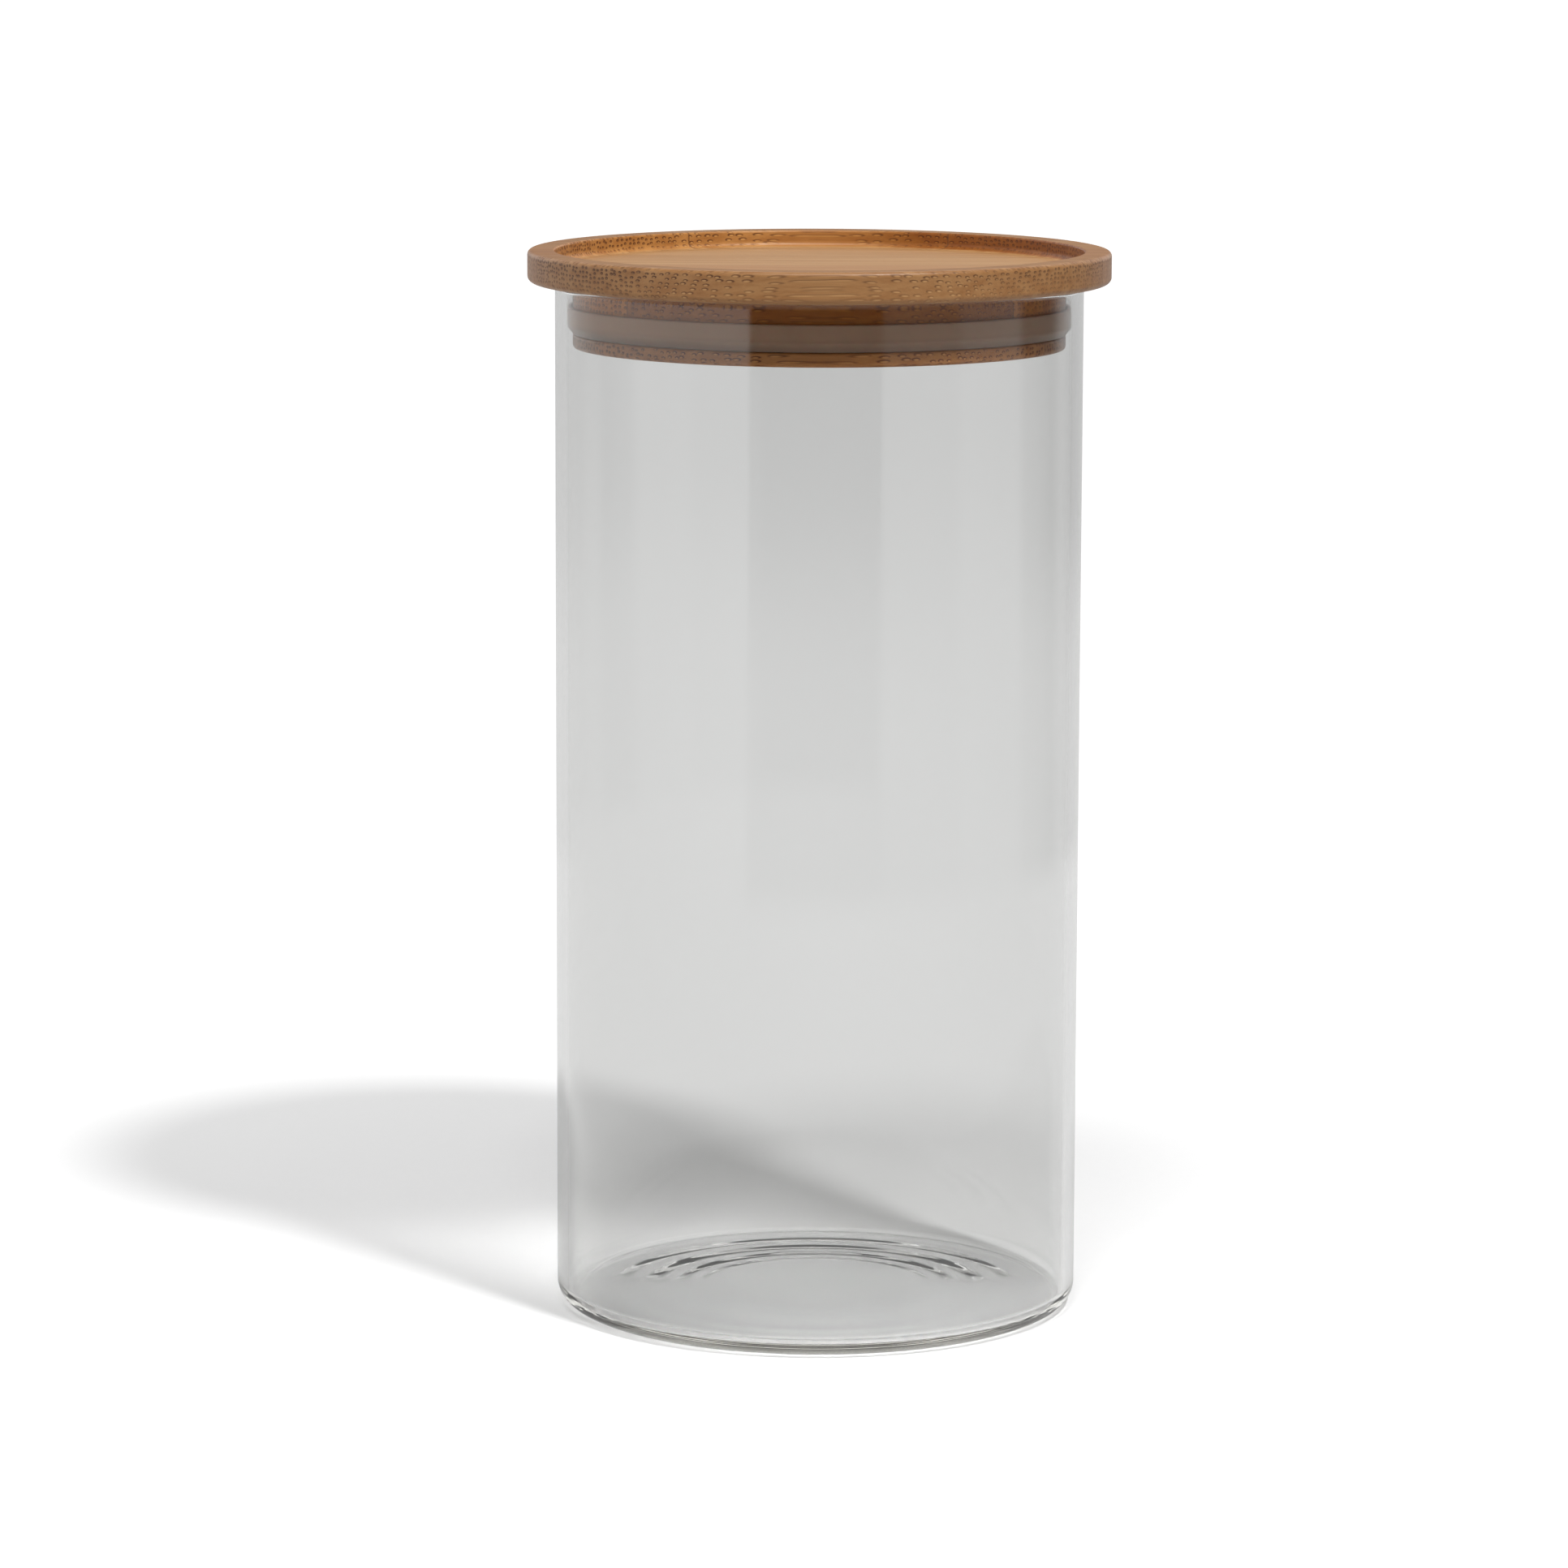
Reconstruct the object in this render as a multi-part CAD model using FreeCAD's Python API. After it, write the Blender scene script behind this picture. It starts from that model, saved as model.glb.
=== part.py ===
import FreeCAD, Part
import math
import os

# A tall glass food canister: a straight-sided jar, a turned lid of laminated bamboo, and the
# silicone ring in the lid's groove that seals against the glass.
# Millimetres. The origin is the centre of the face that the jar stands on, and +Z is up.

# ---- driving dimensions: jar ----
JAR_RADIUS = 50.0
WALL = 2.2
RIM_GAP = 0.2               # between the glass rim and the lid's underside
RIM_ROUND = 1.05            # the fire-polished rim is almost a full round
HEEL_ROUND = 4.0
FLOOR_THICKNESS = 2.5
FLOOR_ROUND = 2.0           # where the wall meets the floor inside
STANDING_RING_RADIUS = 43.0  # the jar stands on a ring out here
PUSH_UP = 0.9               # rise of the base at its centre
PUSH_UP_SHOULDER = 30.0     # radius inside which the base is nearly flat
PUSH_UP_BLEND = 60.0        # large rounds that ease the base into its push-up

# ---- driving dimensions: lid ----
PLY = 6.0                   # thickness of each of the three layers of bamboo strips
LID_TOP_Z = 202.8
LID_RADIUS = 55.2
LID_TOP_ROUND = 0.9
LID_UNDER_ROUND = 1.2
RECESS_RADIUS = 50.1        # takes the base of a second canister
RECESS_DEPTH = 3.3
RECESS_EDGE_ROUND = 0.4
RECESS_FLOOR_ROUND = 1.2
PLUG_RADIUS = 46.65
PLUG_END_ROUND = 0.7
GROOVE_RADIUS = 44.5
GROOVE_LOW_Z = 187.45
GROOVE_HIGH_Z = 192.2
GROOVE_EDGE_ROUND = 0.45

# Glue lines between neighbouring strips, as distances in Y from the lid's axis.
TOP_JOINTS = (-22.3, -16.3, 3.7, 23.7, 43.2)
CORE_JOINTS = (-31.0, -10.0, 11.0, 31.5)
BOTTOM_JOINTS = (-22.5, -1.5, 19.5, 38.0)

# ---- driving dimensions: sealing ring ----
RING_GLASS_GAP = 0.1
RING_GROOVE_GAP = 0.05
RING_SIDE_GAP = 0.1
RING_LIP = 0.5              # rise of the outer lip above the groove
RING_LIP_INSIDE = 0.15      # the lip stands this far outside the plug
RING_ROUND = 0.3
RING_BELLY_ROUND = 0.9
RING_TAPER = 1.6            # height over which the ring's lower side narrows

# ---- derived ----
LID_UNDERSIDE_Z = LID_TOP_Z - PLY
CORE_LOW_Z = LID_UNDERSIDE_Z - PLY
LID_BOTTOM_Z = CORE_LOW_Z - PLY
RECESS_FLOOR_Z = LID_TOP_Z - RECESS_DEPTH
RIM_Z = LID_UNDERSIDE_Z - RIM_GAP
BORE_RADIUS = JAR_RADIUS - WALL
CUT_MARGIN = 5.0            # how far the cutting blanks reach past a ply


def point(radius, height):
    return FreeCAD.Vector(radius, 0, height)


def corner_arc(before, corner, after, rounding):
    """The tangent arc that rounds one corner of an outline: its start, middle and end."""
    back = (before - corner).normalize()
    ahead = (after - corner).normalize()
    half_angle = back.getAngle(ahead) / 2
    reach = rounding / math.tan(half_angle)
    inward = (back + ahead).normalize()
    centre = corner + inward * (rounding / math.sin(half_angle))
    return corner + back * reach, centre - inward * rounding, corner + ahead * reach


def turned(corners):
    """A solid of revolution about Z from the corners (radius, height, rounding) of its half section.

    The rounds are exact arcs in spline form, because their turned faces mesh closed after a planar cut.
    """
    places = [point(radius, height) for radius, height, rounding in corners]
    roundings = [rounding for radius, height, rounding in corners]
    count = len(corners)
    edges = []
    starts = []
    ends = []
    for i in range(count):
        if roundings[i]:
            start, middle, end = corner_arc(places[i - 1], places[i], places[(i + 1) % count], roundings[i])
            edges.append(Part.Arc(start, middle, end).toBSpline().toShape())
        else:
            start = end = places[i]
        starts.append(start)
        ends.append(end)
    for i in range(count):
        following = starts[(i + 1) % count]
        if ends[i].distanceToPoint(following) > 1e-6:
            edges.append(Part.LineSegment(ends[i], following).toShape())
    section = Part.Face(Part.Wire(Part.__sortEdges__(edges)))
    return section.revolve(FreeCAD.Vector(0, 0, 0), FreeCAD.Vector(0, 0, 1), 360)


def jar():
    """Borosilicate glass, one piece: a thin wall, a rounded rim and a base that is pushed up a little."""
    return turned([
        (0, PUSH_UP, 0),
        (PUSH_UP_SHOULDER, PUSH_UP, PUSH_UP_BLEND),
        (STANDING_RING_RADIUS, 0, 0),
        (JAR_RADIUS, 0, HEEL_ROUND),
        (JAR_RADIUS, RIM_Z, RIM_ROUND),
        (BORE_RADIUS, RIM_Z, RIM_ROUND),
        (BORE_RADIUS, FLOOR_THICKNESS, FLOOR_ROUND),
        (STANDING_RING_RADIUS, FLOOR_THICKNESS, 0),
        (PUSH_UP_SHOULDER, FLOOR_THICKNESS + PUSH_UP, PUSH_UP_BLEND),
        (0, FLOOR_THICKNESS + PUSH_UP, 0),
    ])


def sealing_ring():
    """Silicone ring: its root fills the lid's groove and its belly and lip press on the glass."""
    inner = GROOVE_RADIUS + RING_GROOVE_GAP
    outer = BORE_RADIUS - RING_GLASS_GAP
    low = GROOVE_LOW_Z + RING_SIDE_GAP
    high = GROOVE_HIGH_Z - RING_SIDE_GAP
    lip_top = GROOVE_HIGH_Z + RING_LIP
    return turned([
        (inner, low, RING_ROUND),
        (PLUG_RADIUS, low, RING_ROUND),
        (outer, low + RING_TAPER, RING_BELLY_ROUND),
        (outer, lip_top, RING_ROUND),
        (PLUG_RADIUS + RING_LIP_INSIDE, lip_top, RING_ROUND),
        (PLUG_RADIUS + RING_LIP_INSIDE, high, 0),
        (inner, high, RING_ROUND),
    ])


def bottom_ply():
    """The lowest layer of the lid's board, turned: the plug's flange and the groove's lower half."""
    return turned([
        (0, LID_BOTTOM_Z, 0),
        (PLUG_RADIUS, LID_BOTTOM_Z, PLUG_END_ROUND),
        (PLUG_RADIUS, GROOVE_LOW_Z, GROOVE_EDGE_ROUND),
        (GROOVE_RADIUS, GROOVE_LOW_Z, 0),
        (GROOVE_RADIUS, CORE_LOW_Z, 0),
        (0, CORE_LOW_Z, 0),
    ])


def core_ply():
    """The middle layer, turned: the groove's upper half and the plug's upper band."""
    return turned([
        (0, CORE_LOW_Z, 0),
        (GROOVE_RADIUS, CORE_LOW_Z, 0),
        (GROOVE_RADIUS, GROOVE_HIGH_Z, 0),
        (PLUG_RADIUS, GROOVE_HIGH_Z, GROOVE_EDGE_ROUND),
        (PLUG_RADIUS, LID_UNDERSIDE_Z, 0),
        (0, LID_UNDERSIDE_Z, 0),
    ])


def top_ply():
    """The top layer, turned: the overhanging rim and the floor of the recess."""
    return turned([
        (0, LID_UNDERSIDE_Z, 0),
        (LID_RADIUS, LID_UNDERSIDE_Z, LID_UNDER_ROUND),
        (LID_RADIUS, LID_TOP_Z, LID_TOP_ROUND),
        (RECESS_RADIUS, LID_TOP_Z, RECESS_EDGE_ROUND),
        (RECESS_RADIUS, RECESS_FLOOR_Z, RECESS_FLOOR_ROUND),
        (0, RECESS_FLOOR_Z, 0),
    ])


def strips(name, ply, joints):
    """The bamboo strips of one ply, front to back, by node name: its parts between glue lines."""
    bounds = ply.BoundBox
    limits = [bounds.YMin - CUT_MARGIN, *joints, bounds.YMax + CUT_MARGIN]
    length = bounds.XLength + 2 * CUT_MARGIN
    height = bounds.ZLength + 2 * CUT_MARGIN
    nodes = {}
    for number, (front, back) in enumerate(zip(limits, limits[1:]), start=1):
        corner = FreeCAD.Vector(bounds.XMin - CUT_MARGIN, front, bounds.ZMin - CUT_MARGIN)
        blank = Part.makeBox(length, back - front, height, corner)
        nodes[f"lid_{name}_strip_{number}"] = ply.common(blank).Solids[0]
    return nodes


nodes = {
    "jar": jar(),
    "sealing_ring": sealing_ring(),
    **strips("bottom", bottom_ply(), BOTTOM_JOINTS),
    **strips("core", core_ply(), CORE_JOINTS),
    **strips("top", top_ply(), TOP_JOINTS),
}

os.makedirs("parts", exist_ok=True)
for name, shape in nodes.items():
    shape.exportStep(f"parts/{name}.step")
    print(f"{name}: {shape.Volume / 1000:.2f} cm3, valid {shape.isValid()}, solids {len(shape.Solids)}")
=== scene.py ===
import math
import random

import bpy
from mathutils import Matrix, Vector


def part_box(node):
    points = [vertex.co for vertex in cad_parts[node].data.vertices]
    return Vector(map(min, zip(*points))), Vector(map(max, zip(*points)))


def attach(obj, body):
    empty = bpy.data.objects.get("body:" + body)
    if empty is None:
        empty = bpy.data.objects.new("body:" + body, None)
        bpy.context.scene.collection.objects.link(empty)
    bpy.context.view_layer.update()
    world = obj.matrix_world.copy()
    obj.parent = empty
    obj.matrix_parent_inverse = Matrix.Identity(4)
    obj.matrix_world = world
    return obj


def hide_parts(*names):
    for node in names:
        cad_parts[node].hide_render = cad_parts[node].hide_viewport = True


MM = 0.001

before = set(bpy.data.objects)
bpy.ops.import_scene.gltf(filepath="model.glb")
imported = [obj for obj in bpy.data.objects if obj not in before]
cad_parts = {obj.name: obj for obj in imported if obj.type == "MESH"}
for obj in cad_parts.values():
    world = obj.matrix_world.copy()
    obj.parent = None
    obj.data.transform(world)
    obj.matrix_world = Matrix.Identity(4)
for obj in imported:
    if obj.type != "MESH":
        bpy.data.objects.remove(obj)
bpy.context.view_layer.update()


# A name that ends in _FADE is a pair for Graph.step(): where the effect is 0, and where it is whole.


# ---------------------------------------------------------------- small helpers

class Graph:
    """Builds the nodes of a new material, or adds to a tree. A value is a number or a socket."""

    def __init__(self, name, tree=None):
        if tree:
            self.tree = tree
            return
        self.material = bpy.data.materials.new(name)
        self.material.use_nodes = True
        self.tree = self.material.node_tree
        self.tree.nodes.clear()

    def node(self, kind, settings=None, **inputs):
        made = self.tree.nodes.new(kind)
        for key, value in (settings or {}).items():
            setattr(made, key, value)
        for key, value in inputs.items():
            self.feed(made.inputs[key.replace("_", " ")], value)
        return made

    def feed(self, socket, value):
        if isinstance(value, bpy.types.NodeSocket):
            self.tree.links.new(value, socket)
        else:
            socket.default_value = value

    def math(self, operation, *values, clamp=False):
        made = self.node("ShaderNodeMath", {"operation": operation, "use_clamp": clamp})
        for socket, value in zip(made.inputs, values):
            self.feed(socket, value)
        return made.outputs[0]

    def times(self, *values):
        product = values[0]
        for value in values[1:]:
            product = self.math("MULTIPLY", product, value)
        return product

    def plus(self, first, second):
        return self.math("ADD", first, second)

    def minus(self, first, second):
        return self.math("SUBTRACT", first, second)

    def scaled(self, value, gain, offset):
        """value times gain, plus offset."""
        return self.math("MULTIPLY_ADD", value, gain, offset)

    def length(self, x, y):
        return self.math("SQRT", self.scaled(x, x, self.times(y, y)))

    def turn(self, x, y):
        """Where x, y lies round the jar, from 0 to 1: 0.5 is straight in front, and more is to the right."""
        return self.scaled(self.math("ARCTAN2", x, self.times(y, -1.0)), 1 / math.tau, 0.5)

    def step(self, value, low, high):
        """0 at low, 1 at high, smooth between them. low may be above high."""
        made = self.node("ShaderNodeMapRange", {"interpolation_type": "SMOOTHSTEP"})
        for name, given in (("Value", value), ("From Min", low), ("From Max", high)):
            self.feed(made.inputs[name], given)
        return made.outputs[0]

    def ramp(self, value, stops):
        """A grey that goes straight from stop to stop, each (place 0 to 1, grey)."""
        made = self.node("ShaderNodeValToRGB", Fac=value)
        elements = made.color_ramp.elements
        while len(elements) < len(stops):
            elements.new(0.5)
        for element, (place, grey) in zip(elements, stops):
            element.position = place
            element.color = (grey, grey, grey, 1.0)
        return made.outputs[0]

    def round_the_jar(self, turn, stops):
        """A ramp whose stops are given in degrees from the front, more to the right."""
        return self.ramp(turn, [(degrees / 360 + 0.5, grey) for degrees, grey in stops])

    def mix(self, factor, first, second, blend="MIX"):
        made = self.node("ShaderNodeMix", {"data_type": "RGBA", "blend_type": blend})
        self.feed(made.inputs[0], factor)
        self.feed(made.inputs[6], first)
        self.feed(made.inputs[7], second)
        return made.outputs[2]

    def stained(self, factor, colour, stain):
        """The colour, multiplied by the stain as far as factor says."""
        return self.mix(factor, colour, self.mix(1.0, colour, stain, "MULTIPLY"))

    def colour(self, red, green, blue):
        return self.node("ShaderNodeCombineColor", Red=red, Green=green, Blue=blue).outputs[0]

    def vector(self, x, y, z):
        return self.node("ShaderNodeCombineXYZ", X=x, Y=y, Z=z).outputs[0]

    def split(self, vector):
        return tuple(self.node("ShaderNodeSeparateXYZ", Vector=vector).outputs)

    def noise(self, vector, scale, detail=2.0, roughness=0.5):
        made = self.node("ShaderNodeTexNoise", Vector=vector, Scale=scale, Detail=detail, Roughness=roughness)
        return made.outputs["Fac"]

    def finish(self, shader):
        out = self.tree.nodes.new("ShaderNodeOutputMaterial")
        self.tree.links.new(shader, out.inputs["Surface"])
        return self.material


def srgb(red, green, blue):
    """A linear colour with alpha from 0 to 255 display values."""
    def linear(value):
        share = value / 255
        return share / 12.92 if share <= 0.04045 else ((share + 0.055) / 1.055) ** 2.4
    return (linear(red), linear(green), linear(blue), 1.0)


def smooth(share):
    """0 to 1 with a soft start and end, from any number."""
    held = min(max(share, 0.0), 1.0)
    return held * held * (3 - 2 * held)


def repaint(name, material):
    """Gives a CAD node one new material."""
    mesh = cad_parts[name].data
    mesh.materials.clear()
    mesh.materials.append(material)


# ---------------------------------------------------------------- bamboo

BAMBOO_LIGHT = srgb(155, 112, 70)
BAMBOO_DARK = srgb(137, 92, 52)
BUNDLE_BROWN = srgb(78, 44, 22)
BUNDLE_HEART = srgb(186, 142, 94)
BAMBOO_SPECULAR = 0.3
STREAK_FADE = (0.3, 0.7)

# Noise on a strip, in mm: (scale along the fibres, scale across them, detail, roughness).
WANDER = (0.03, 0.1, 2.0, 0.5)
STREAK = (0.012, 0.45, 5.0, 0.65)
FIBRE = (0.08, 5.0, 3.0, 0.6)
SPECKLE = (3.0, 6.0, 2.0, 0.6)

# A vascular bundle seen end on: a dark cap round a light heart. Its measures are shares of the spacing.
BUNDLES_SCATTER = 0.55              # how far the bundles are from an even pattern
BUNDLES_PRESENT = 0.93              # the share of places that hold one
CAP_RADIUS = 0.32
CAP_RADIUS_MORE = 0.09              # what the widest cap has more
CAP_FULL = 0.6                      # the share of its radius where a cap is full
HEART_RADIUS = 0.7                  # a heart's radius, as a share of its cap's
HEART_FULL = 0.25
HEART_ASIDE = 0.04
HEART_DOWN = 0.10
SWAY = 1.4                          # mm, how far bundles wander sideways along a strip
HEAVE = 1.0                         # mm, and up and down
HEARTS_CLOSE_FADE = (22.0, 38.0)    # mm from the middle of a strip
HEARTS_CLOSE = 0.7

# Bundles are dark near the culm's skin and faint towards its heart. They are also darker towards the left.
SKIN_FADE = (0.15, 0.95)            # the share of the ply's depth
SOAK_FADE = (5.0, -40.0)            # mm along a strip
CAP_LEAST, CAP_NEAR_SKIN, CAP_SOAKED = 0.42, 0.45, 0.35
HEART_LEAST, HEART_NEAR_SKIN = 0.62, -0.2
END_ON_FADE = (0.0, 0.35)           # how much a face looks along the fibres

GLUE_BROWN = srgb(84, 50, 28)
GLUE_STRENGTH = 0.6
GLUE_FADE = (0.14, 0.03)            # mm from the joint of two strips

# The recess floor is painted paler: mostly a painted sheen of the bright room behind the lid, partly its face
# grain's own paler tone.
RECESS_PAINTED_SHEEN = (1.36, 1.54, 1.80, 1.0)
RECESS_LEVEL_FADE = (0.7, 0.99)     # how much a face looks up
RECESS_HEIGHT_FADE = (201.5, 200.5)     # mm
WALL_PAINTED_LIGHT = (1.48, 1.36, 1.00, 1.0)    # the recess wall on the left, painted lighter as painted light where the key lamp falls on it
WALL_PAINTED_SHADE = (0.86, 0.56, 0.19, 1.0)  # the recess wall on the right, painted darker and more orange as painted shade where it faces away from the key lamp, partly its end grain's own darker tone
WALL_TURNS_FADE = (2.0, 22.0)       # mm along a strip, from the one to the other
INWARD_FADE = (-0.3, -0.8)          # how much a face looks away from the lid's axis

# Each ply's lowest and highest z in mm, and whether its strips' skin faces up.
PLIES = {"bottom": (184.8, 190.8, False), "core": (190.8, 196.8, True), "top": (196.8, 202.8, True)}

# How a strip was cut from the culm: (bundle spacing in mm, darkness of the bundles, red, green, blue).
USUAL_CUT = (0.86, 1.0, 0.98, 1.0, 1.0)
CUTS = {
    "lid_top_strip_2": (0.74, 1.1, 0.93, 0.91, 0.88),
    "lid_top_strip_3": (1.00, 0.50, 0.98, 0.94, 0.92),
    "lid_bottom_strip_1": (0.95, 1.2, 1.48, 1.28, 1.05),
    "lid_bottom_strip_2": (0.95, 0.85, 1.26, 1.10, 0.84),
    "lid_core_strip_1": (1.05, 0.8, 1.56, 1.10, 0.36),
    "lid_core_strip_2": (1.05, 0.8, 1.95, 1.46, 0.50),
}


def drawn_out(graph, place, seed, kind):
    """Noise that is drawn out along the fibres, of the kind WANDER, STREAK, FIBRE or SPECKLE."""
    along, across, up = place
    along_scale, scale, detail, roughness = kind
    vector = graph.vector(graph.scaled(along, along_scale, seed), graph.times(across, scale),
                          graph.times(up, scale))
    return graph.noise(vector, 1.0, detail, roughness)


def bundles(graph, across, up, spacing):
    """Vascular bundles seen end on: (share of dark cap, share of light heart), both 0 to 1."""
    cells = graph.node("ShaderNodeTexVoronoi", {"voronoi_dimensions": "2D", "feature": "F1"},
                       Vector=graph.vector(across, up, 0.0), Scale=1 / spacing, Randomness=BUNDLES_SCATTER)
    chance = graph.node("ShaderNodeSeparateColor", Color=cells.outputs["Color"]).outputs
    middle = graph.split(cells.outputs["Position"])
    side = graph.minus(across, middle[0])
    rise = graph.minus(up, middle[1])
    radius = graph.scaled(chance[1], CAP_RADIUS_MORE * spacing, CAP_RADIUS * spacing)
    cap = graph.step(graph.length(side, rise), radius, graph.times(radius, CAP_FULL))
    off_heart = graph.length(graph.minus(side, HEART_ASIDE * spacing), graph.plus(rise, HEART_DOWN * spacing))
    heart = graph.step(off_heart, graph.times(radius, HEART_RADIUS), graph.times(radius, HEART_FULL))
    present = graph.math("LESS_THAN", chance[0], BUNDLES_PRESENT)
    heart = graph.times(heart, present)
    cap = graph.times(cap, present, graph.minus(1.0, heart))
    return cap, heart


def grown_bundles(graph, place, seed, spacing):
    """bundles() on a strip: they wander along it, and their hearts close towards its ends."""
    along, across, up = place
    sway = drawn_out(graph, place, seed, WANDER)
    heave = drawn_out(graph, place, seed + 31, WANDER)
    cap, heart = bundles(graph, graph.scaled(sway, SWAY, graph.plus(across, 7.3 * seed)),
                         graph.scaled(heave, HEAVE, up), spacing)
    off_middle = graph.math("ABSOLUTE", along)
    closed = graph.times(heart, graph.times(graph.step(off_middle, *HEARTS_CLOSE_FADE), HEARTS_CLOSE))
    return graph.plus(cap, closed), graph.minus(heart, closed)


def aged_bundles(graph, along, depth, darkness, cap, heart):
    """The bundles' shares at their strength. depth is 0 at the culm's heart and 1 at its skin."""
    near_skin = graph.step(depth, *SKIN_FADE)
    soak = graph.scaled(graph.step(along, *SOAK_FADE), CAP_SOAKED * darkness, CAP_LEAST * darkness)
    strength = graph.scaled(near_skin, CAP_NEAR_SKIN * darkness, soak)
    glow = graph.scaled(near_skin, HEART_NEAR_SKIN * darkness, HEART_LEAST * darkness)
    return graph.math("MULTIPLY", cap, strength, clamp=True), graph.times(heart, glow)


def end_grain(graph, normal, flat_on):
    """How much of the bundles a face shows: all of them end on, about half on its sides, few from above."""
    end_on = graph.step(graph.math("ABSOLUTE", normal[0]), *END_ON_FADE)
    return graph.times(graph.minus(1.0, graph.times(flat_on, 0.72)), graph.scaled(end_on, 0.45, 0.55))


def recess_painted_light(graph, place, normal, colour):
    """The colour, with painted light and shade on the recess: its wall painted lighter on the left and darker
    on the right, and its floor painted paler as a sheen.
    """
    along, across, up = place
    outward = graph.scaled(normal[0], along, graph.times(normal[1], across))
    outward = graph.math("DIVIDE", outward, graph.length(along, across))
    # Painted light and shade: the recess wall is lighter on the left, where the key lamp falls on it, and
    # darker on the right.
    wall = graph.mix(graph.step(along, *WALL_TURNS_FADE), WALL_PAINTED_LIGHT, WALL_PAINTED_SHADE)
    colour = graph.stained(graph.step(outward, *INWARD_FADE), colour, wall)
    # Painted sheen: the recess floor's faces that look up are painted paler.
    sheen_mask = graph.times(graph.step(normal[2], *RECESS_LEVEL_FADE), graph.step(up, *RECESS_HEIGHT_FADE))
    return graph.stained(sheen_mask, colour, RECESS_PAINTED_SHEEN)


def glued(graph, across, joint, colour):
    """The colour, with a thin line of glue where the strip meets the next one."""
    gap = graph.math("ABSOLUTE", graph.minus(across, joint))
    line = graph.times(graph.step(gap, *GLUE_FADE), GLUE_STRENGTH)
    return graph.mix(line, colour, GLUE_BROWN)


def bamboo(name, seed, tone, skin_up, low, high, joints, cut):
    """Bamboo whose fibres run along X. low..high is the ply's z and joints are glued sides' y, in mm."""
    spacing, darkness, *shift = cut
    graph = Graph(name)
    coordinates = graph.node("ShaderNodeTexCoord").outputs
    place = [graph.math("DIVIDE", axis, MM) for axis in graph.split(coordinates["Object"])]
    along, across, up = place
    normal = graph.split(coordinates["Normal"])
    flat_on = graph.math("ABSOLUTE", normal[2])

    depth = graph.math("DIVIDE", graph.minus(up, low), high - low)
    depth = depth if skin_up else graph.minus(1.0, depth)
    cap, heart = grown_bundles(graph, place, seed, spacing)
    cap, heart = aged_bundles(graph, along, depth, darkness, cap, heart)
    shown = end_grain(graph, normal, flat_on)
    streak = drawn_out(graph, place, seed, STREAK)
    fibre = drawn_out(graph, place, seed, FIBRE)
    speckle = drawn_out(graph, place, 0.0, SPECKLE)

    colour = graph.mix(graph.step(streak, *STREAK_FADE), BAMBOO_DARK, BAMBOO_LIGHT)
    colour = graph.mix(graph.times(cap, shown), colour, BUNDLE_BROWN)
    colour = graph.mix(graph.times(heart, shown), colour, BUNDLE_HEART)
    grain_and_side_shade = graph.plus(graph.scaled(fibre, 0.30, 0.80), graph.times(speckle, 0.1))
    # Faces that look sideways are painted up to 6% darker than faces that look up: partly the end grain's own
    # darker tone, partly painted shade on the rim's sides.
    grain_and_side_shade = graph.times(grain_and_side_shade, graph.scaled(flat_on, 0.06, 0.94))
    tint = graph.colour(*(graph.times(grain_and_side_shade, tone * share) for share in shift))
    colour = graph.mix(1.0, colour, tint, "MULTIPLY")
    colour = recess_painted_light(graph, place, normal, colour)
    for joint in joints:
        colour = glued(graph, across, joint, colour)

    relief = graph.minus(graph.times(fibre, 0.5), graph.times(cap, 0.6))
    bump = graph.node("ShaderNodeBump", Strength=0.35, Distance=0.06 * MM, Height=relief)
    rough = graph.scaled(cap, 0.12, graph.scaled(fibre, 0.14, 0.32))
    surface = graph.node(
        "ShaderNodeBsdfPrincipled", Base_Color=colour, Roughness=rough, Normal=bump.outputs[0])
    surface.inputs["Specular IOR Level"].default_value = BAMBOO_SPECULAR
    return graph.finish(surface.outputs[0])


def paint_lid():
    """Gives every bamboo strip its own cut of bamboo."""
    chooser = random.Random(7)
    for ply, (low, high, skin_up) in PLIES.items():
        names = sorted(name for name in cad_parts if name.startswith(f"lid_{ply}_strip_"))
        for i, name in enumerate(names):
            lowest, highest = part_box(name)
            joints = [lowest.y / MM] if i else []
            if i < len(names) - 1:
                joints.append(highest.y / MM)
            seed = 10.0 + 17.0 * chooser.random()
            tone = 0.94 + 0.08 * chooser.random()
            cut = CUTS.get(name, USUAL_CUT)
            repaint(name, bamboo(f"bamboo_{ply}_{i + 1}", seed, tone, skin_up, low, high, joints, cut))


# ---------------------------------------------------------------- glass jar

WALL = 2.2 * MM
RIM_ROUND = 1.05 * MM
HEEL_ROUND = 4.0 * MM
FLOOR = 2.5 * MM
FLOOR_ROUND = 2.0 * MM
STANDING_RING = 43.0 * MM
RIPPLES = [(middle * MM, width * MM, drop * MM) for middle, width, drop in (
    (22.5, 2.0, 0.05), (26.5, 3.2, 0.14), (32.0, 4.4, 0.24), (38.3, 3.8, 0.17))]
CALM_SPREAD = 12.0 * MM     # how much wider each ripple is where the base is calm
RIPPLED_TO = 0.28           # the ripples are whole where y is at least this share of the radius
CALM_WITHIN = 0.33          # and they are calm where y is this share of the radius less
SLOPE_REACH = 0.01 * MM
BASE_STEPS = 150
TURN_STEPS = 320
ROUND_STEPS = 10

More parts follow.
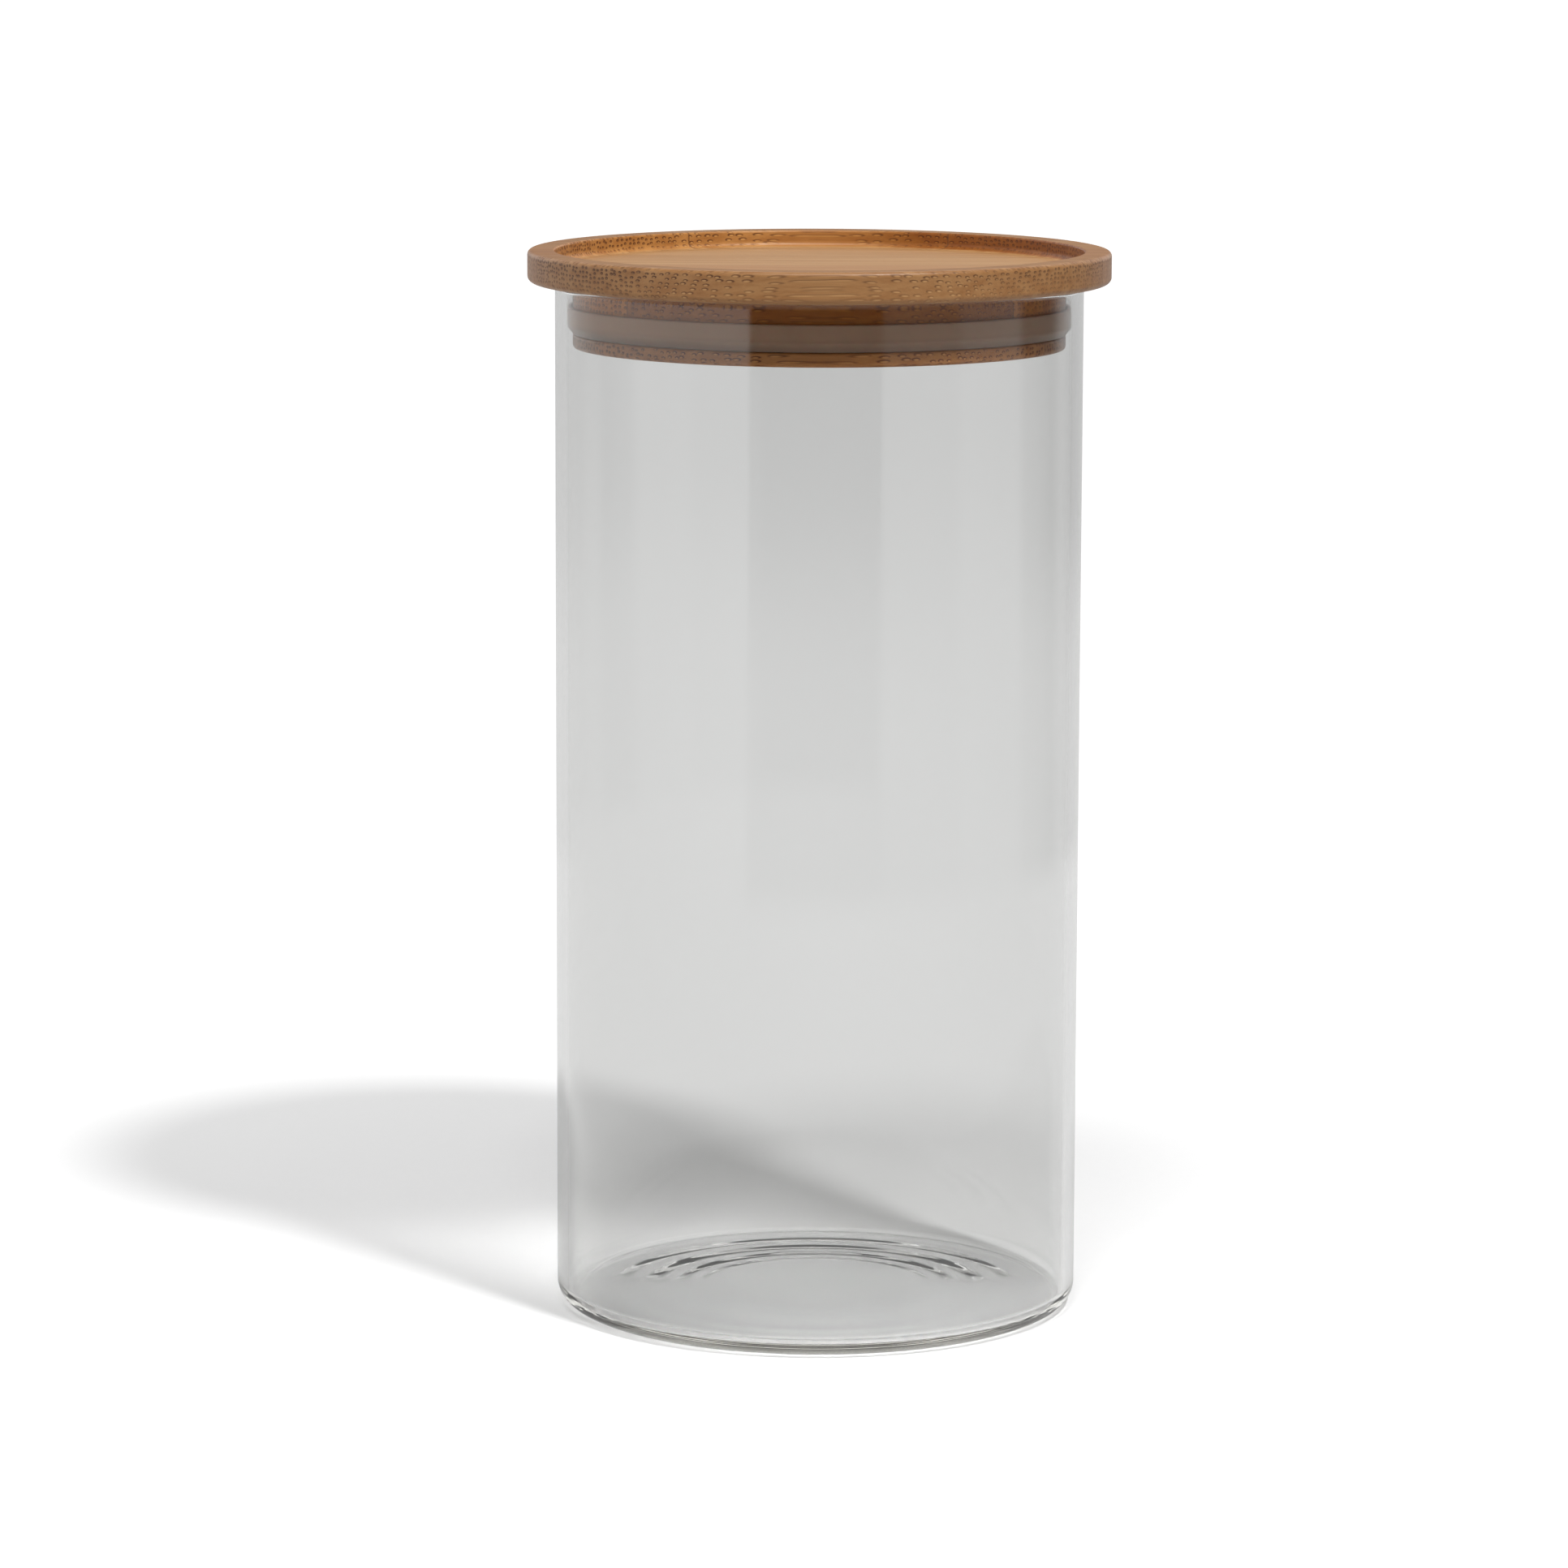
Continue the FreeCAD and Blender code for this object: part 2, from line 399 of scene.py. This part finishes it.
GLASS_COLOUR = (0.93, 0.932, 0.929, 1.0)
GLASS_IOR = 1.47
GLASS_DEPTH_COLOUR = (0.60, 0.58, 0.44, 1.0)
GLASS_DEPTH_DENSITY = 6.0
LET_BY = 0.865          # how much of the lamps' light the glass lets by, where it is met straight on
LOST_EDGE_ON = 0.72     # how much of that is lost where it is met edge on
EDGE_SHARPNESS = 3.0
LET_BY_LOW = 0.87       # the share that is left near the base
ABOVE_BASE_FADE = (3.0 * MM, 6.0 * MM)      # height
LOST_IN_HEEL = 0.30     # the share that is lost in the heel
HEEL_RADIUS_FADE = (44.0 * MM, 47.0 * MM)   # distance from the axis
HEEL_HEIGHT_FADE = (8.0 * MM, 3.0 * MM)     # height


def rounded(place, back, ahead, rounding):
    """The points and normals of one rounded corner, between the ways back and ahead."""
    half = back.angle(ahead) / 2
    centre = place + (back + ahead).normalized() * rounding / math.sin(half)
    first = place + back * rounding / math.tan(half) - centre
    last = place + ahead * rounding / math.tan(half) - centre
    convex = 1 if back.x * ahead.y - back.y * ahead.x < 0 else -1
    spokes = [first.slerp(last, step / ROUND_STEPS).normalized() for step in range(ROUND_STEPS + 1)]
    return [(centre + spoke * rounding, spoke * convex) for spoke in spokes]


def outline(corners):
    """Points (r, z) and their outward normals along a half section given as corners (r, z, rounding).

    It starts on a surface that faces down and ends on one that faces up.
    """
    places = [Vector((r, z)) for r, z, rounding in corners]
    found = [(places[0], Vector((0, -1)))]
    for i in range(1, len(places) - 1):
        back = (places[i - 1] - places[i]).normalized()
        ahead = (places[i + 1] - places[i]).normalized()
        found += rounded(places[i], back, ahead, corners[i][2])
    return found + [(places[-1], Vector((0, 1)))]


def turned(name, section_at, material):
    """A closed turned mesh. section_at(angle) gives its half section there, as outline() does."""
    points = []
    normals = []
    faces = []
    rings = []
    angles = [math.tau * k / TURN_STEPS for k in range(TURN_STEPS)]
    sections = [section_at(angle) for angle in angles]
    for row, (place, normal) in enumerate(sections[0]):
        if place.x < 1e-9:
            rings.append([len(points)])
            points.append((0, 0, place.y))
            normals.append((0, 0, normal.y))
            continue
        rings.append(list(range(len(points), len(points) + TURN_STEPS)))
        for angle, section in zip(angles, sections):
            place, normal = section[row]
            points.append((place.x * math.cos(angle), place.x * math.sin(angle), place.y))
            normals.append((normal.x * math.cos(angle), normal.x * math.sin(angle), normal.y))
    for lower, upper in zip(rings, rings[1:]):
        for k in range(TURN_STEPS):
            near = (k + 1) % TURN_STEPS
            if len(lower) == 1:
                faces.append((lower[0], upper[near], upper[k]))
            elif len(upper) == 1:
                faces.append((lower[k], lower[near], upper[0]))
            else:
                faces.append((lower[k], lower[near], upper[near], upper[k]))
    mesh = bpy.data.meshes.new(name)
    mesh.from_pydata(points, [], faces)
    mesh.materials.append(material)
    mesh.shade_smooth()
    mesh.normals_split_custom_set_from_vertices(normals)
    made = bpy.data.objects.new(name, mesh)
    bpy.context.scene.collection.objects.link(made)
    return made


def clear_glass():
    """Glass that refracts, drinks a little light in its depth, and passes the lamps' light as grey shadow."""
    graph = Graph("borosilicate_glass")
    glass = graph.node("ShaderNodeBsdfPrincipled")
    glass.inputs["Base Color"].default_value = GLASS_COLOUR
    glass.inputs["Roughness"].default_value = 0.0
    glass.inputs["IOR"].default_value = GLASS_IOR
    glass.inputs["Transmission Weight"].default_value = 1.0

    edge_on = graph.node("ShaderNodeLayerWeight", Blend=0.5).outputs["Facing"]
    let_by = graph.minus(LET_BY, graph.times(graph.math("POWER", edge_on, EDGE_SHARPNESS), LOST_EDGE_ON))
    x, y, height = graph.split(graph.node("ShaderNodeTexCoord").outputs["Object"])
    upper = graph.step(height, *ABOVE_BASE_FADE)
    let_by = graph.times(let_by, graph.scaled(upper, 1.0 - LET_BY_LOW, LET_BY_LOW))
    heel = graph.times(graph.step(graph.length(x, y), *HEEL_RADIUS_FADE),
                       graph.step(height, *HEEL_HEIGHT_FADE))
    let_by = graph.times(let_by, graph.scaled(heel, -LOST_IN_HEEL, 1.0))
    passing = graph.node("ShaderNodeBsdfTransparent", Color=graph.colour(let_by, let_by, let_by))

    both = graph.node("ShaderNodeMixShader")
    graph.feed(both.inputs[0], graph.node("ShaderNodeLightPath").outputs["Is Shadow Ray"])
    graph.feed(both.inputs[1], glass.outputs[0])
    graph.feed(both.inputs[2], passing.outputs[0])
    depth = graph.node("ShaderNodeVolumeAbsorption")
    depth.inputs["Color"].default_value = GLASS_DEPTH_COLOUR
    depth.inputs["Density"].default_value = GLASS_DEPTH_DENSITY
    material = graph.finish(both.outputs[0])
    graph.tree.links.new(depth.outputs[0], graph.tree.nodes["Material Output"].inputs["Volume"])
    return material


def underside(radius, calm):
    """Height of the base's pushed-up underside, which falls from the middle to the standing ring in ripples.

    Where calm is 1 they run together into one smooth slope.
    """
    height = 0.0
    for middle, width, drop in RIPPLES:
        spread = min(width + calm * CALM_SPREAD, 2 * (STANDING_RING - middle))
        height += drop * (1 - smooth((radius - middle) / spread + 0.5))
    return height


def glass_base(angle):
    """Points and normals of the underside at this angle, from the middle to the standing ring."""
    calm = smooth((RIPPLED_TO - math.sin(angle)) / CALM_WITHIN)
    points = [(Vector((0, underside(0, calm))), Vector((0, -1)))]
    for i in range(1, BASE_STEPS + 1):
        radius = STANDING_RING * i / BASE_STEPS
        rise = underside(radius + SLOPE_REACH, calm) - underside(radius - SLOPE_REACH, calm)
        normal = Vector((rise / (2 * SLOPE_REACH), -1)).normalized()
        points.append((Vector((radius, underside(radius, calm))), normal))
    return points


def glass_jar():
    lowest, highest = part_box("jar")
    outer = highest.x
    rim = highest.z
    bore = outer - WALL
    shell = outline([
        (STANDING_RING, 0, 0),
        (outer, 0, HEEL_ROUND),
        (outer, rim, RIM_ROUND),
        (bore, rim, RIM_ROUND),
        (bore, FLOOR, FLOOR_ROUND),
        (0, FLOOR, 0),
    ])[1:]
    jar = turned("jar_glass", lambda angle: glass_base(angle) + shell, clear_glass())
    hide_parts("jar")
    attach(jar, "jar")


# ---------------------------------------------------------------- silicone ring

SILICONE_DARK = srgb(194, 156, 128)
SILICONE_LIGHT = srgb(210, 172, 144)
SILICONE_PAINTED_SHADE = (0.50, 0.50, 0.52, 1.0)   # painted shade, darker where the ring turns in below, towards its groove
SHADE_BELOW_FADE = (190.4 * MM, 187.4 * MM)      # height
SILICONE_IOR = 1.41
CLOUD_SCALE = 90.0
GRIT_SCALE = 1500.0


def paint_ring():
    graph = Graph("silicone")
    place = graph.node("ShaderNodeTexCoord").outputs["Object"]
    cloud = graph.noise(place, CLOUD_SCALE, 3.0)
    grit = graph.noise(place, GRIT_SCALE, 2.0)
    # Painted shade: the ring is darker towards its bottom, where it turns in towards its groove.
    low = graph.step(graph.split(place)[2], *SHADE_BELOW_FADE)
    colour = graph.stained(low, graph.mix(cloud, SILICONE_DARK, SILICONE_LIGHT), SILICONE_PAINTED_SHADE)
    rough = graph.scaled(grit, 0.15, 0.36)
    bump = graph.node("ShaderNodeBump", Strength=0.15, Distance=0.03 * MM, Height=grit)
    rubber = graph.node(
        "ShaderNodeBsdfPrincipled", Base_Color=colour, Roughness=rough, Normal=bump.outputs[0])
    rubber.inputs["IOR"].default_value = SILICONE_IOR
    rubber.inputs["Transmission Weight"].default_value = 0.25
    rubber.inputs["Subsurface Weight"].default_value = 0.3
    rubber.inputs["Subsurface Scale"].default_value = 2.0 * MM
    repaint("sealing_ring", graph.finish(rubber.outputs[0]))


# ---------------------------------------------------------------- stage

KEY_PLACE = Vector((0.312, -0.470, 0.936))
KEY_POWER = 30.0
KEY_RADIUS = 0.055
KEY_REACH = 0.53        # what the floor gets from the key light near the jar, over pi
FILL_PLACE = Vector((-0.14, -0.78, 1.50))
FILL_POWER = 32.0
FILL_RADIUS = 0.20
FILL_REACH = 0.233
LAMPS = (("key", KEY_PLACE, KEY_POWER, KEY_RADIUS), ("fill", FILL_PLACE, FILL_POWER, FILL_RADIUS))

SKY_STRENGTH = 0.285
SKY_SEEN = 1.1          # the strength where the camera sees the sky directly
BACK_DIM = 0.2          # how much darker the room is low down straight behind the jar
BACK_GAIN = 3.4         # how much brighter it is round that dark part
LEFT_GAIN = 3.6         # how much brighter it is low down on the left
HIGH_FADE = (0.95, 0.7)         # heights in the sky are the z of a direction, 1 straight up
LOW_FADE = (0.50, 0.42)
LEFT_FADE = (0.7, 0.3)
GUIDED_FADE = (0.36, 0.28)
# Greys round the jar, each (place as Graph.turn() gives it, grey). Straight behind is 0 and also 1.
BEHIND = ((0.0, 1.0), (0.1, 1.0), (0.17, 0.0), (0.83, 0.0), (0.9, 1.0), (1.0, 1.0))
STRAIGHT_BEHIND = ((0.0, 1.0), (0.03, 1.0), (0.055, 0.0), (0.945, 0.0), (0.97, 1.0), (1.0, 1.0))
LEFT = ((0.1, 0.0), (0.17, 1.0), (0.33, 1.0), (0.4, 0.0))

FLOOR_RADIUS = 14.0
FLOOR_EDGES = 96
FLOOR_GREY = 0.61
FLOOR_GRIT = 0.01       # how much its grey varies
FLOOR_GRIT_SCALE = 400.0
FLOOR_GAP = 0.1 * MM    # how far below the jar it lies, so that no two faces fall together
FLOOR_SEEN = 1.42       # the floor is exposed this much brighter where the camera sees it directly
FAR_GLOW = 0.83         # how much of its glow the far floor keeps for everything but the camera
FAR_GLOW_FADE = (0.6, 1.9)      # m from the axis, and so are the next three
ROOM_NEAR_FADE = (0.48, 0.56)
ROOM_FAR_FADE = (0.8, 1.4)
FAR_WINDOW_FADE = (1.5, 2.0)
ROOM_NEAR_SHARE = 0.45          # how much of ROOM shows between the near and the far edge
# How bright gloss sees the floor far from the jar: (degrees from the front, more to the right; share).
ROOM = (
    (-180, 0.85), (-100, 0.9), (-80, 1.0), (-31, 1.0), (-30, 0.0), (27, 0.0), (28, 0.3), (62, 0.35),
    (64, 0.6), (96, 0.65), (100, 0.1), (122, 0.1), (130, 0.6), (150, 0.75), (180, 0.85),
)
# What gloss sees brighter, farther off on the left.
FAR_WINDOW = ((-110, 0.0), (-90, 0.5), (-31, 0.5), (-30, 0.0))

MOST_BOUNCES = 32       # light runs along inside the thick base by many reflections
GLASS_BOUNCES = 24


def loss(graph, x, y, place, power, reach):
    """What the floor at x, y lacks because a light is farther from it than from the jar."""
    along = graph.minus(x, place.x)
    across = graph.minus(y, place.y)
    square = graph.scaled(along, along, graph.scaled(across, across, place.z ** 2))
    reached = graph.math("DIVIDE", power / (4 * math.pi ** 2) * place.z, graph.math("POWER", square, 1.5))
    return graph.math("MAXIMUM", graph.minus(reach, reached), 0.0)


def floor_paper():
    """Pale paper. Its glow makes up for the lamps' falloff, and gloss sees a furnished room on it."""
    graph = Graph("studio_floor")
    place = graph.node("ShaderNodeTexCoord").outputs["Object"]
    path = graph.node("ShaderNodeLightPath").outputs
    x, y, _ = graph.split(place)
    away = graph.length(x, y)
    turn = graph.turn(x, y)
    in_gloss = graph.math("GREATER_THAN", path["Glossy Depth"], 0.5)

    near = graph.step(away, *ROOM_NEAR_FADE)
    far = graph.step(away, *ROOM_FAR_FADE)
    beyond = graph.scaled(near, ROOM_NEAR_SHARE, graph.times(far, 1 - ROOM_NEAR_SHARE))
    hidden = graph.times(beyond, in_gloss, graph.minus(1.0, graph.round_the_jar(turn, ROOM)))
    seen = graph.scaled(path["Is Camera Ray"], FLOOR_SEEN - 1, 1.0)
    shown = graph.times(seen, graph.minus(1.0, hidden))
    grit = graph.noise(place, FLOOR_GRIT_SCALE, 3.0)
    grey = graph.times(graph.scaled(grit, FLOOR_GRIT, FLOOR_GREY - FLOOR_GRIT / 2), shown)

    lost = graph.plus(loss(graph, x, y, KEY_PLACE, KEY_POWER, KEY_REACH),
                      loss(graph, x, y, FILL_PLACE, FILL_POWER, FILL_REACH))
    glow = graph.times(lost, graph.times(shown, FLOOR_GREY))
    dimmer = graph.times(graph.step(away, *FAR_GLOW_FADE), graph.minus(1.0, path["Is Camera Ray"]))
    window = graph.times(graph.round_the_jar(turn, FAR_WINDOW), in_gloss, graph.step(away, *FAR_WINDOW_FADE))
    share = graph.plus(window, graph.scaled(dimmer, FAR_GLOW - 1, 1.0))

    paper = graph.node(
        "ShaderNodeBsdfPrincipled",
        Base_Color=graph.colour(grey, grey, grey), Emission_Color=(1.0, 1.0, 1.0, 1.0),
        Emission_Strength=graph.times(glow, share),
    )
    paper.inputs["Roughness"].default_value = 0.9
    paper.inputs["Specular IOR Level"].default_value = 0.0
    return graph.finish(paper.outputs[0])


def floor():
    angles = [math.tau * k / FLOOR_EDGES for k in range(FLOOR_EDGES)]
    edge = [(FLOOR_RADIUS * math.cos(angle), FLOOR_RADIUS * math.sin(angle), 0) for angle in angles]
    mesh = bpy.data.meshes.new("floor")
    mesh.from_pydata(edge, [], [list(range(FLOOR_EDGES))])
    mesh.materials.append(floor_paper())
    plane = bpy.data.objects.new("floor", mesh)
    plane.location.z = -FLOOR_GAP
    bpy.context.scene.collection.objects.link(plane)


def lamp(name, place, power, radius):
    data = bpy.data.lights.new(name, "POINT")
    data.energy = power
    data.shadow_soft_size = radius
    made = bpy.data.objects.new(name, data)
    made.location = place
    made.visible_camera = False
    made.visible_transmission = False    # clear glass already passes the lamps' light to its shadow
    bpy.context.scene.collection.objects.link(made)


def sky():
    """A soft room round the jar: bright behind and on the left, dark low down straight behind."""
    world = bpy.data.worlds.new("studio")
    world.use_nodes = True
    graph = Graph("studio", world.node_tree)
    path = graph.node("ShaderNodeLightPath").outputs
    x, y, z = graph.split(graph.node("ShaderNodeTexCoord").outputs["Generated"])
    turn = graph.turn(x, y)
    bright = graph.times(graph.ramp(turn, BEHIND), graph.step(z, *HIGH_FADE), BACK_GAIN)
    dark = graph.times(graph.ramp(turn, STRAIGHT_BEHIND), graph.step(z, *LOW_FADE))
    # Light that ran along inside the base and leaves it low down finds a bright floor behind, not the dark.
    guided = graph.math("GREATER_THAN", path["Glossy Depth"], 1.5)
    guided = graph.times(guided, graph.step(z, *GUIDED_FADE))
    dark = graph.times(dark, graph.minus(1.0, guided))
    dim = graph.minus(bright, graph.times(graph.plus(bright, BACK_DIM), dark))
    gain = graph.times(graph.ramp(turn, LEFT), graph.step(z, *LEFT_FADE), LEFT_GAIN)
    level = graph.times(graph.plus(graph.plus(dim, gain), 1.0), SKY_STRENGTH)
    shown = graph.node("ShaderNodeMapRange", Value=path["Is Camera Ray"], To_Min=level, To_Max=SKY_SEEN)
    backdrop = graph.tree.nodes["Background"]
    backdrop.inputs["Color"].default_value = (1, 1, 1, 1)
    graph.feed(backdrop.inputs["Strength"], shown.outputs[0])
    world.cycles.sampling_method = "NONE"
    bpy.context.scene.world = world


def look():
    """How the picture is developed, and how many times light may bounce."""
    scene = bpy.context.scene
    scene.view_settings.view_transform = "Standard"
    scene.cycles.max_bounces = MOST_BOUNCES
    scene.cycles.glossy_bounces = GLASS_BOUNCES
    scene.cycles.transmission_bounces = GLASS_BOUNCES


CAMERA_PLACE = Vector((-6.4, -1172.9, 291.5)) * MM
CAMERA_PITCH = math.radians(9.252)
CAMERA_ROLL = math.radians(0.177)


def camera():
    """The photograph's camera, found by fitting the object's outlines."""
    data = bpy.data.cameras.new("camera")
    data.lens = 142.4
    data.sensor_width = 36.0
    data.clip_start = 0.05
    data.clip_end = 100.0
    made = bpy.data.objects.new("camera", data)
    tilt = Matrix.Rotation(math.pi / 2 - CAMERA_PITCH, 4, "X")
    made.matrix_world = Matrix.Translation(CAMERA_PLACE) @ tilt @ Matrix.Rotation(CAMERA_ROLL, 4, "Z")
    bpy.context.scene.collection.objects.link(made)
    bpy.context.scene.camera = made


paint_lid()
paint_ring()
glass_jar()
floor()
for settings in LAMPS:
    lamp(*settings)
sky()
look()
camera()
